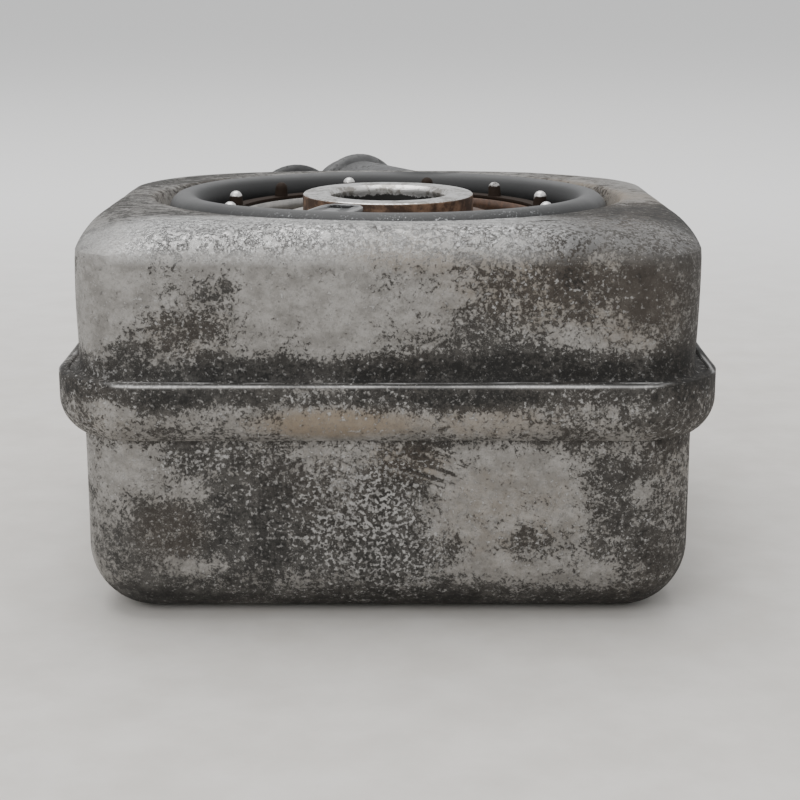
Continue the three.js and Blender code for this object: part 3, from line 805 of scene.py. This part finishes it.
def upper_shell():
    """Engine-side shell: a skirt folded over the seam, a ledge, the wall, the top and the rim."""
    reach = SEAM_HALF - LOWER_HALF - CLEAR
    curl_turn = math.degrees(math.acos((CURL - reach) / (CURL - SHEET)))
    curl_height = SKIRT_BOTTOM + CURL * math.sin(math.radians(curl_turn))
    step_down = 0.35 * MM
    foot = 0.9 * MM
    groove_lip = GROOVE_FLOOR + 2 * CLEAR
    lip_radius = RIM_RADIUS - 1.8 * MM

    outside = arc(SEAM_HALF - CURL, curl_height, CURL, -curl_turn, 0, 10)
    outside += straight(outside[-1], Spot(SEAM_HALF, LIP_EDGE - 0.4 * MM), 4)
    outside += [Spot(SEAM_HALF, LIP_EDGE - 0.4 * MM), Spot(SEAM_HALF, LIP_EDGE - 0.2 * MM)]
    outside += arc(SEAM_HALF - 0.25 * MM, LIP_EDGE, 0.25 * MM, 0, 45, 3)
    outside += straight(outside[-1], Spot(LIP_CREST + 0.2 * MM, LEDGE - 0.06 * MM), 3)
    outside += arc(LIP_CREST, LEDGE - 0.4 * MM, 0.4 * MM, 70, 100, 3)
    edge = LIP_CREST - 0.15 * MM
    outside += [
        Spot(edge - 0.12 * MM, LEDGE - 0.3 * step_down),
        Spot(edge - 0.3 * MM, LEDGE - step_down),
    ]
    outside += arc(UPPER_HALF + foot, LEDGE - step_down + foot, foot, 270, 180, 5)
    wall_foot = outside[-1]
    bulge = 0.35 * MM
    for i in range(1, 12):
        t = i / 12
        height = wall_foot.z + (TOP - TOP_EDGE - wall_foot.z) * t
        outside.append(Spot(UPPER_HALF + bulge * (math.sin(math.pi * 0.75 * t) - 0.5), height))
    outside += domed(arc(UPPER_HALF - TOP_EDGE, TOP - TOP_EDGE, TOP_EDGE, 0, 90, 16))
    flat = outside[-1]
    rim = Spot(RIM_RADIUS + 0.8 * MM, TOP, 1.0)
    outside += straight(flat, rim, 7) + [rim]
    outside += arc(RIM_RADIUS + 0.8 * MM, TOP - 1.2 * MM, 1.2 * MM, 90, 145, 5, 1.0)[1:]
    outside.append(Spot(lip_radius + 0.3 * MM, groove_lip + 0.4 * MM, 1.0))
    outside.append(Spot(lip_radius, groove_lip, 1.0))

    inside = [
        Spot(lip_radius, groove_lip - 0.5 * SHEET, 1.0),
        Spot(RIM_RADIUS - 0.2 * MM, TOP - 2.2 * SHEET, 1.0),
        Spot(RIM_RADIUS + 0.8 * MM, TOP - SHEET, 1.0),
    ]
    inside += domed(arc(UPPER_HALF - TOP_EDGE, TOP - TOP_EDGE, TOP_EDGE - SHEET, 0, 90, 6))[::-1]
    inside += [Spot(UPPER_HALF - SHEET, LEDGE - SHEET), Spot(SEAM_HALF - FOLD, LEDGE - SHEET)]
    inside += arc(SEAM_HALF - FOLD, LEDGE - FOLD, FOLD - SHEET, 60, 0, 3)
    inside += arc(SEAM_HALF - CURL, curl_height, CURL - SHEET, 0, -curl_turn, 5)

    rings = [pressed_ring(spot) for spot in outside + inside]
    made = piece("upper_shell_pressing", loft(rings), weathered_aluminium())
    paint_shell(made)
    batter(made, shell_dents)
    for point in made.data.vertices:
        point.co.z += askew(point.co)
    return made


def lower_shell(finish):
    """Filter-side shell: lip round the opening, land, rounded edge, wall and flare."""
    lip = SHEET + CLEAR
    land = Spot(OPENING + lip, 0, 1.0)
    flat = Spot(LOWER_HALF - BOTTOM_EDGE, 0)
    curl_turn = math.acos((CURL - (SEAM_HALF - LOWER_HALF - CLEAR)) / (CURL - SHEET))
    flare_start = SKIRT_BOTTOM + SHEET * math.sin(curl_turn) + CLEAR
    flare_end = RIM_TOP - 2 * SHEET

    outside = [Spot(OPENING, FILTER_FLOOR - CLEAR, 1.0)]
    outside += arc(OPENING + lip, lip, lip, 180, 270, 8, 1.0)
    outside += straight(land, flat, 7)
    outside += arc(LOWER_HALF - BOTTOM_EDGE, BOTTOM_EDGE, BOTTOM_EDGE, -90, 0, 16)
    outside += straight(outside[-1], Spot(LOWER_HALF, flare_start), 12)
    outside += [Spot(LOWER_HALF, flare_start), Spot(FLARE_HALF, flare_end), Spot(FLARE_HALF, RIM_TOP)]
    inside = [
        Spot(FLARE_HALF - SHEET, RIM_TOP),
        Spot(FLARE_HALF - SHEET, flare_end + 0.3 * MM),
        Spot(LOWER_HALF - SHEET, flare_start + 0.3 * MM),
    ]
    inside += arc(LOWER_HALF - BOTTOM_EDGE, BOTTOM_EDGE, BOTTOM_EDGE - SHEET, 0, -90, 8)
    inside += [Spot(OPENING + lip, SHEET, 1.0), Spot(OPENING + SHEET, FILTER_FLOOR - CLEAR, 1.0)]

    rings = [pressed_ring(spot) for spot in outside + inside]
    made = piece("lower_shell_pressing", loft(rings), finish)
    paint_shell(made)
    batter(made, lambda place: shell_dents(place) * ease(place.z, 0, 2 * MM))
    return made


# ---- Seal ----


def seal():
    """The sealing ring, which sits a little high at the front and low at the back."""
    radius = SEAL_SECTION / 2
    rise = 0.9 * MM
    turns = [math.tau * i / 28 for i in range(28)]
    profile = [(SEAL_MIDDLE + radius * math.cos(t), SEAL_HEIGHT + radius * math.sin(t)) for t in turns]
    made = piece("rubber_seal", turned(profile, 180), seal_rubber())
    for point in made.data.vertices:
        tilt = -point.co.y / SEAL_MIDDLE * rise
        point.co.z += tilt + 0.12 * MM * lumps(point.co, 20 * MM, 4) - 0.1 * MM

    def wear_and_highlight(place, normal):
        """The front's outer flank, speckled more towards the right."""
        front = ease(-place.y, 22 * MM, 33 * MM) * (0.55 + 0.45 * ease(place.x, -12 * MM, 2 * MM))
        return front * (1 - 0.8 * ease(normal.z, 0.75, 0.98)) * ease(lumps(place, 4 * MM, 7), -0.6, 0.2)

    paint(made, "wear_and_highlight", wear_and_highlight)

    def grime_and_shade(place, normal):
        """Painted shade on the inner flank and on the front's outer flank, and one dark patch at the
        back.
        """
        out = place.xy.length - SEAL_MIDDLE
        patch = 1.4 - math.hypot((place.x - 7 * MM) / (6 * MM), (place.y - SEAL_MIDDLE) / (3.5 * MM))
        inner = 0.85 * ease(-out, 0.6 * MM, 2.2 * MM)
        front = 0.65 * ease(out, 0.2 * MM, 1.4 * MM) * ease(-place.y, 10 * MM, 25 * MM)
        return max(patch, inner, front)

    paint(made, "grime_and_shade", grime_and_shade)
    # Painted light: the seal is paler where it faces up.
    paint(made, "painted_light", lambda place, normal: 0.17 * ease(normal.z, 0.5, 0.95))
    return made


def pull_tab(finish):
    """A flat tab with round corners and a slot, which runs in from the seal over the recess."""
    width, length, thick = 7 * MM, 12 * MM, 0.9 * MM
    slot_width, slot_length, slot_shift = 3.8 * MM, 3.4 * MM, 2.8 * MM
    inset = 0.2 * MM
    middle = -24.4 * MM
    top = 58.9 * MM
    askew_turn = Matrix.Rotation(math.radians(-20), 4, "Z")
    where = askew_turn @ Matrix.Translation((0, middle, top - thick))

    def outline(across, along, shift, lift):
        """A rounded shape between an oblong and an oval, anticlockwise."""
        spots = []
        for i in range(48):
            turn = math.tau * i / 48
            side, end = math.cos(turn), math.sin(turn)
            x = math.copysign(abs(side) ** 0.5, side) * across / 2
            y = math.copysign(abs(end) ** 0.6, end) * along / 2
            spots.append((x, y + shift, lift))
        return spots

    def rim(shrink, lift):
        return outline(width - shrink, length - shrink, 0, lift)

    def slot(grow, lift):
        return outline(slot_width + grow, slot_length + grow, slot_shift, lift)

    rings = [slot(0, inset), slot(0, thick - inset), slot(inset, thick)]
    rings += [rim(6 * inset, thick), rim(2 * inset, thick), rim(0, thick - inset)]
    rings += [rim(0, inset), rim(2 * inset, 0), slot(inset, 0)]
    bm = loft(rings)
    bmesh.ops.transform(bm, matrix=where, verts=bm.verts)
    made = piece("seal_pull_tab", bm, finish)

    def from_slot(place):
        """How far a place is from the slot, as a share of the slot's size."""
        here = where.inverted() @ place
        return max(abs(here.x) / slot_width * 2, abs(here.y - slot_shift) / slot_length * 2)

    def painted_light(place, normal):
        """The tab's pale grey, with a painted highlight round the edge of its top."""
        here = where.inverted() @ place
        edge = ease(max(abs(here.x) / width, abs(here.y) / length) * 2, 0.8, 0.9)
        return 0.25 + 0.75 * edge * (here.z > thick / 2)

    paint(made, "wear_and_highlight", lambda place, normal: 0.4)
    # Painted shade in the slot, whose walls go near black.
    paint(made, "grime_and_shade", lambda place, normal: 1.0 if from_slot(place) < 1.04 else 0.0)
    paint(made, "painted_light", painted_light)
    return made


# ---- Recess ----


def divided(profile, longest):
    """A closed profile whose long straights are cut into shorter ones."""
    spots = []
    for spot, following in zip(profile, profile[1:] + profile[:1]):
        steps = math.ceil(math.dist(spot, following) / longest)
        for i in range(steps):
            spots.append(tuple(a + (b - a) * i / steps for a, b in zip(spot, following)))
    return spots


def end_plate(name, corners, plugs, finish, grime_and_shade, brown):
    """A round pressing with its ports cut, which is painted by two rules."""
    profile = divided(rounded_profile(corners, 0.35 * MM), 3 * MM)
    made = piece(name, turned(profile, 144), finish)
    cut_away(made, plugs)
    paint(made, "grime_and_shade", grime_and_shade)
    paint(made, "brown", brown)
    return made


PORT_INNER = TUBE_RADIUS + CLEAR + 2.5 * MM
PORT_OUTER = 24.8 * MM
PORT_SPAN = math.radians(40)


def kidney_plug(degrees, low, high):
    """A plug that cuts a kidney-shaped oil port, whose middle lies that far round the axis."""
    start = math.radians(degrees) - PORT_SPAN / 2
    end = start + PORT_SPAN
    hub_radius = (PORT_OUTER + PORT_INNER) / 2
    end_radius = (PORT_OUTER - PORT_INNER) / 2

    def hub(turn):
        return hub_radius * math.cos(turn), hub_radius * math.sin(turn)

    def bow(centre, radius, first, last):
        """Points round part of a circle."""
        turns = [first + (last - first) * i / 12 for i in range(13)]
        return [(centre[0] + radius * math.cos(t), centre[1] + radius * math.sin(t)) for t in turns]

    ring = bow((0, 0), PORT_OUTER, start, end)
    ring += bow(hub(end), end_radius, end, end + math.pi)[1:-1]
    ring += bow((0, 0), PORT_INNER, end, start)
    ring += bow(hub(start), end_radius, start + math.pi, start + math.tau)[1:-1]
    rings = [[(x, y, height) for x, y in ring] for height in (low, high)]
    return piece("plug", loft(rings, capped=True), None)


def engine_plate(finish):
    """Floor of the recess on the engine's side, stepped down to the groove under the seal."""
    step = 2 * CLEAR
    inner = TUBE_RADIUS + CLEAR
    corners = [
        (inner, RECESS_FLOOR - END_PLATE),
        (FLOOR_RADIUS - END_PLATE, RECESS_FLOOR - END_PLATE),
        (FLOOR_RADIUS - END_PLATE + step, GROOVE_FLOOR - END_PLATE),
        (RIM_RADIUS, GROOVE_FLOOR - END_PLATE),
        (RIM_RADIUS, GROOVE_FLOOR),
        (FLOOR_RADIUS, GROOVE_FLOOR),
        (FLOOR_RADIUS - CLEAR, RECESS_FLOOR),
        (inner, RECESS_FLOOR),
    ]

    # Darker behind the tube and on the right, with painted shade round the floor's outer edge next to the
    # seal.
    def grime_and_shade(place, normal):
        middle = ease(-abs(place.x), -13 * MM, -6 * MM) * ease(place.y, -9 * MM, 0)
        outer = 0.9 * ease(place.xy.length, 26.5 * MM, 29 * MM)
        return 0.1 + max(middle, outer, 0.3 * ease(place.x, 0, 10 * MM)) + 0.2 * lumps(place, 6 * MM, 9)

    def brown(place, normal):
        return ease(place.x, 0, 10 * MM) + 0.1

    low, high = RECESS_FLOOR - 2 * END_PLATE, RECESS_FLOOR + END_PLATE
    plugs = [kidney_plug(degrees, low, high) for degrees in (41, 139)]
    return end_plate("engine_plate_pressing", corners, plugs, finish, grime_and_shade, brown)


def filter_plate(finish):
    """Floor of the recess on the filter's side."""
    inner = TUBE_RADIUS + CLEAR
    seat = OPENING + SHEET + 2 * CLEAR
    corners = [
        (inner, FILTER_FLOOR),
        (seat, FILTER_FLOOR),
        (seat, SHEET + CLEAR),
        (BOTTOM_FLAT, SHEET + CLEAR),
        (BOTTOM_FLAT, FILTER_FLOOR + END_PLATE),
        (inner, FILTER_FLOOR + END_PLATE),
    ]

    def grime_and_shade(place, normal):
        return 0.35 + 0.4 * lumps(place, 7 * MM, 12)

    def brown(place, normal):
        return 0.5 + 0.5 * lumps(place, 12 * MM, 15)

    plugs = [kidney_plug(degrees, 0, FILTER_FLOOR + 2 * END_PLATE) for degrees in (221, 319)]
    return end_plate("filter_plate_pressing", corners, plugs, finish, grime_and_shade, brown)


def stub_ring():
    """Twelve short round stubs with domed tips, standing on a thin ring."""
    count = 12
    radius = 1.15 * MM
    tip_radius = radius * 0.92
    dome = radius * 0.9
    circle = STUB_RING - radius
    low = stubs_low.z
    height = stubs_high.z - low + 0.4 * MM
    band_top = low + 0.5 * MM
    corners = [
        (circle - radius, low),
        (circle + radius, low),
        (circle + radius, band_top),
        (circle - radius, band_top),
    ]
    profile = [(radius, 0.25 * MM), (tip_radius, height - dome)]
    for step in range(1, 6):
        tip = math.pi / 2 * step / 6
        profile.append((tip_radius * math.cos(tip), height - dome + dome * math.sin(tip)))
    parts = [turned(rounded_profile(corners, 0.1 * MM), 120)]
    for i in range(count):
        turn = (i + 0.5) / count * math.tau
        stub = loft([turned_ring(spot, 16) for spot in profile], capped=True)
        lean = Matrix.Rotation(0.08 * math.sin(5 * i), 4, "X")
        lean = lean @ Matrix.Rotation(0.06 * math.cos(3 * i), 4, "Y")
        place = Matrix.Translation((circle * math.cos(turn), circle * math.sin(turn), low))
        bmesh.ops.transform(stub, matrix=place @ lean, verts=stub.verts)
        parts.append(stub)
    made = piece("stub_ring", join(*parts), bright_stub(), 60)
    rubbed_highlight = (1, 0.5, 0.05, 0.8, 0, 1, 1, 0.8, 0.6, 0.7, 0.8, 1)

    def wear_and_highlight(place, normal):
        """Only some tips are rubbed bright and painted with a highlight, in order round the ring."""
        turn = math.atan2(place.y, place.x) / math.tau * count
        tip = ease(place.z, low + height - 1.3 * MM, low + height - 0.5 * MM)
        return rubbed_highlight[math.floor(turn) % count] * tip

    paint(made, "wear_and_highlight", wear_and_highlight)
    return made


def centre_tube():
    """The machined tube, bevelled at all its edges."""
    low_bevel = 0.7 * MM
    top_outer_bevel = 0.25 * MM
    top_inner_bevel = 0.6 * MM
    corners = [
        (BORE, TUBE_BOTTOM + low_bevel),
        (BORE + low_bevel, TUBE_BOTTOM),
        (TUBE_RADIUS - low_bevel, TUBE_BOTTOM),
        (TUBE_RADIUS, TUBE_BOTTOM + low_bevel),
        (TUBE_RADIUS, TUBE_TOP - top_outer_bevel),
        (TUBE_RADIUS - top_outer_bevel, TUBE_TOP),
        (BORE + top_inner_bevel, TUBE_TOP),
        (BORE, TUBE_TOP - top_inner_bevel),
        (BORE, TUBE_TOP - 1.4 * MM),
        (BORE, TUBE_TOP - 2.4 * MM),
    ]
    made = piece("turned_tube", turned(rounded_profile(corners, 0.15 * MM, 3), 128), turned_steel(), 30)

    def brown(place, normal):
        outside = place.xy.length > TUBE_RADIUS - 0.1 * MM
        return 1.0 if outside and place.z < TUBE_TOP - 0.2 * MM else 0.0

    # Painted shade in the bore, darker further down; a little dirt elsewhere.
    def grime_and_shade(place, normal):
        inside = place.xy.length < BORE + 0.2 * MM
        return 0.95 * ease(-place.z, -TUBE_TOP + 0.9 * MM, -TUBE_TOP + 2.2 * MM) if inside else 0.1

    paint(made, "brown", brown)
    paint(made, "grime_and_shade", grime_and_shade)
    return made


# ---- Pipes ----

NECK = 7 * MM
STUB = 9.3 * MM
BEAD = 10.7 * MM
PIPE_WALL = 1.2 * MM
BEND_RADIUS = 14 * MM
BEND = math.radians(30)
PIPE_HEIGHT = LEDGE + 2 * CLEAR + NECK


def pipe_route(across, length):
    """Places along a pipe's middle line, each with its direction and its outside radius."""
    start = UPPER_HALF - SHEET - CLEAR
    swage = SEAM_HALF + CLEAR
    swage_length = 2.6 * MM
    bend_start = UPPER_HALF + 7 * MM
    bead_length = 3 * MM
    end_bevel = 0.4 * MM
    route = [(across, start, 0, NECK), (across, swage - 0.4 * MM, 0, NECK)]
    for i in range(1, 9):
        t = i / 8
        route.append((across, swage + swage_length * t, 0, NECK + (STUB - NECK) * ease(t, 0, 1)))
    for i in range(1, 17):
        turn = BEND * i / 16
        x = across - BEND_RADIUS + BEND_RADIUS * math.cos(turn)
        route.append((x, bend_start + BEND_RADIUS * math.sin(turn), turn, STUB))
    end_x, end_y = route[-1][:2]
    bead_end = length - 3.5 * MM
    bead_start = bead_end - bead_length
    stops = [(bead_start * i / 5, STUB) for i in range(1, 5)]
    for i in range(13):
        t = i / 12
        stops.append((bead_start + bead_length * t, STUB + (BEAD - STUB) * math.sin(math.pi * t) ** 0.7))
    stops += [(bead_end + (length - end_bevel - bead_end) * i / 3, STUB) for i in range(1, 4)]
    stops.append((length, STUB - 0.35 * MM))
    for distance, radius in stops:
        x = end_x - math.sin(BEND) * distance
        y = end_y + math.cos(BEND) * distance
        route.append((x, y, BEND, radius))
    return route


def pipe_ring(place, radius):
    """A circle of points about one place of a pipe's route."""
    x, y, turn, _ = place
    ring = []
    for i in range(48):
        spin = -math.tau * i / 48
        side, up = radius * math.cos(spin), radius * math.sin(spin)
        ring.append((x + side * math.cos(turn), y + side * math.sin(turn), PIPE_HEIGHT + up))
    return ring


def pipe(name, across, length, finish):
    """A hollow pipe, swaged out past the seam, bent, and beaded near its end."""
    route = pipe_route(across, length)
    outside = [pipe_ring(place, place[3]) for place in route]
    inside = [pipe_ring(place, min(place[3], STUB) - PIPE_WALL) for place in route]
    return piece(name, loft(outside + inside[::-1]), finish, 50)


def stand_at_wall(bm, across, degrees):
    """Turns a body about the X axis and sets it on a pipe's middle line, at the rear wall."""
    laid = Matrix.Rotation(math.radians(degrees), 4, "X")
    stand = Matrix.Translation((across, UPPER_HALF, PIPE_HEIGHT)) @ laid
    bmesh.ops.transform(bm, matrix=stand, verts=bm.verts)


def braze_collar(name, across, finish):
    """The collar brazed round a pipe at the wall, cut flat over the seam's ledge."""
    corners = [
        (NECK + CLEAR, CLEAR),
        (NECK + CLEAR + 1.8 * MM, CLEAR),
        (NECK + CLEAR + 1.8 * MM, CLEAR + 1.0 * MM),
        (NECK + CLEAR + 0.6 * MM, CLEAR + 1.6 * MM),
        (NECK + CLEAR, CLEAR + 1.6 * MM),
    ]
    bm = turned(rounded_profile(corners, 0.3 * MM), 64)
    stand_at_wall(bm, across, -90)
    floor = Vector((across, UPPER_HALF, LEDGE + CLEAR))
    whole = bm.verts[:] + bm.edges[:] + bm.faces[:]
    cut = bmesh.ops.bisect_plane(bm, geom=whole, plane_co=floor, plane_no=(0, 0, -1), clear_outer=True)
    edges = [item for item in cut["geom_cut"] if isinstance(item, bmesh.types.BMEdge)]
    bmesh.ops.holes_fill(bm, edges=edges)
    return piece(name, bm, finish)


def neck_plug(across):
    """A plug that cuts a pipe's hole in the rear wall."""
    hole = NECK + CLEAR
    bm = bmesh.new()
    bmesh.ops.create_cone(bm, cap_ends=True, segments=64, radius1=hole, radius2=hole, depth=4 * TOP_EDGE)
    stand_at_wall(bm, across, 90)
    return piece("plug", bm, None)


# ---- Put together ----

# Each pipe, how far across the wall it leaves, and how long it runs on past its bend.
PIPES = [("inlet", 10 * MM, 34 * MM), ("outlet", -13.9 * MM, 11 * MM)]

shell = upper_shell()
cut_away(shell, [neck_plug(across) for _, across, _ in PIPES])
finish_piece(shell, "shell", "upper_shell")
finish_piece(lower_shell(shell.data.materials[0]), "shell", "lower_shell")

ring = seal()
finish_piece(ring, "seal", "seal_ring")
finish_piece(pull_tab(ring.data.materials[0]), "seal")

plate = oiled_plate()
finish_piece(engine_plate(plate), "plate", "engine_side_plate")
finish_piece(filter_plate(plate), "plate", "filter_side_plate")
finish_piece(stub_ring(), "plate", "seal_retainer")
finish_piece(centre_tube(), "tube", "centre_tube")

for side, across, length in PIPES:
    dull = drawn_pipe(f"{side}_pipe_metal", 0.075 if side == "inlet" else 0.03)
    finish_piece(pipe(f"{side}_pipe_drawn", across, length, dull), "pipe", f"coolant_{side}_pipe")
    finish_piece(braze_collar(f"{side}_braze_collar", across, dull), "pipe", f"{side}_pipe_collar")

core = brazed_core()
for name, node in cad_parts.items():
    if name.startswith(("oil_plate", "port_spacer", "turbulator", "coolant_baffle")):
        node.data.materials.clear()
        node.data.materials.append(core)

# ---- Floor, light and camera ----


def lamp(name, place, aim, size, power):
    light = bpy.data.lights.new(name, "AREA")
    light.shape = "DISK"
    light.size = size
    light.energy = power
    holder = bpy.data.objects.new(name, light)
    holder.location = place
    holder.rotation_euler = (Vector(aim) - Vector(place)).to_track_quat("-Z", "Y").to_euler()
    bpy.context.scene.collection.objects.link(holder)


FLOOR_HALF = 4

floor_mesh = bmesh.new()
bmesh.ops.create_grid(floor_mesh, x_segments=1, y_segments=1, size=FLOOR_HALF)
floor = piece("floor", floor_mesh, pale_floor())

world = bpy.data.worlds.new("studio")
world.use_nodes = True
sky = world.node_tree.nodes["Background"]
sky.inputs["Color"].default_value = (0.9, 0.91, 0.92, 1)
sky.inputs["Strength"].default_value = 0.86
bpy.context.scene.world = world

middle = AXIS + Vector((0, 0, 0.03))
lamp("top_light", middle + Vector((-0.1, 0.15, 0.9)), middle, 0.9, 7)
lamp("front_light", middle + Vector((-0.45, -0.8, 0.55)), middle, 0.7, 3.2)

# The camera looks down the middle, from the front and a little above.
CAMERA_AWAY = 302.95 * MM
CAMERA_RISE = 39.02 * MM
CAMERA_PITCH = math.radians(13.81)
camera = bpy.data.cameras.new("camera")
camera.sensor_width = 36
camera.lens = 82.4
camera.shift_x = 0.015
camera.clip_start = 0.01
viewer = bpy.data.objects.new("camera", camera)
viewer.location = (AXIS.x, AXIS.y - CAMERA_AWAY, TUBE_TOP + CAMERA_RISE)
viewer.rotation_euler = (math.pi / 2 - CAMERA_PITCH, 0, 0)
bpy.context.scene.collection.objects.link(viewer)
bpy.context.scene.camera = viewer
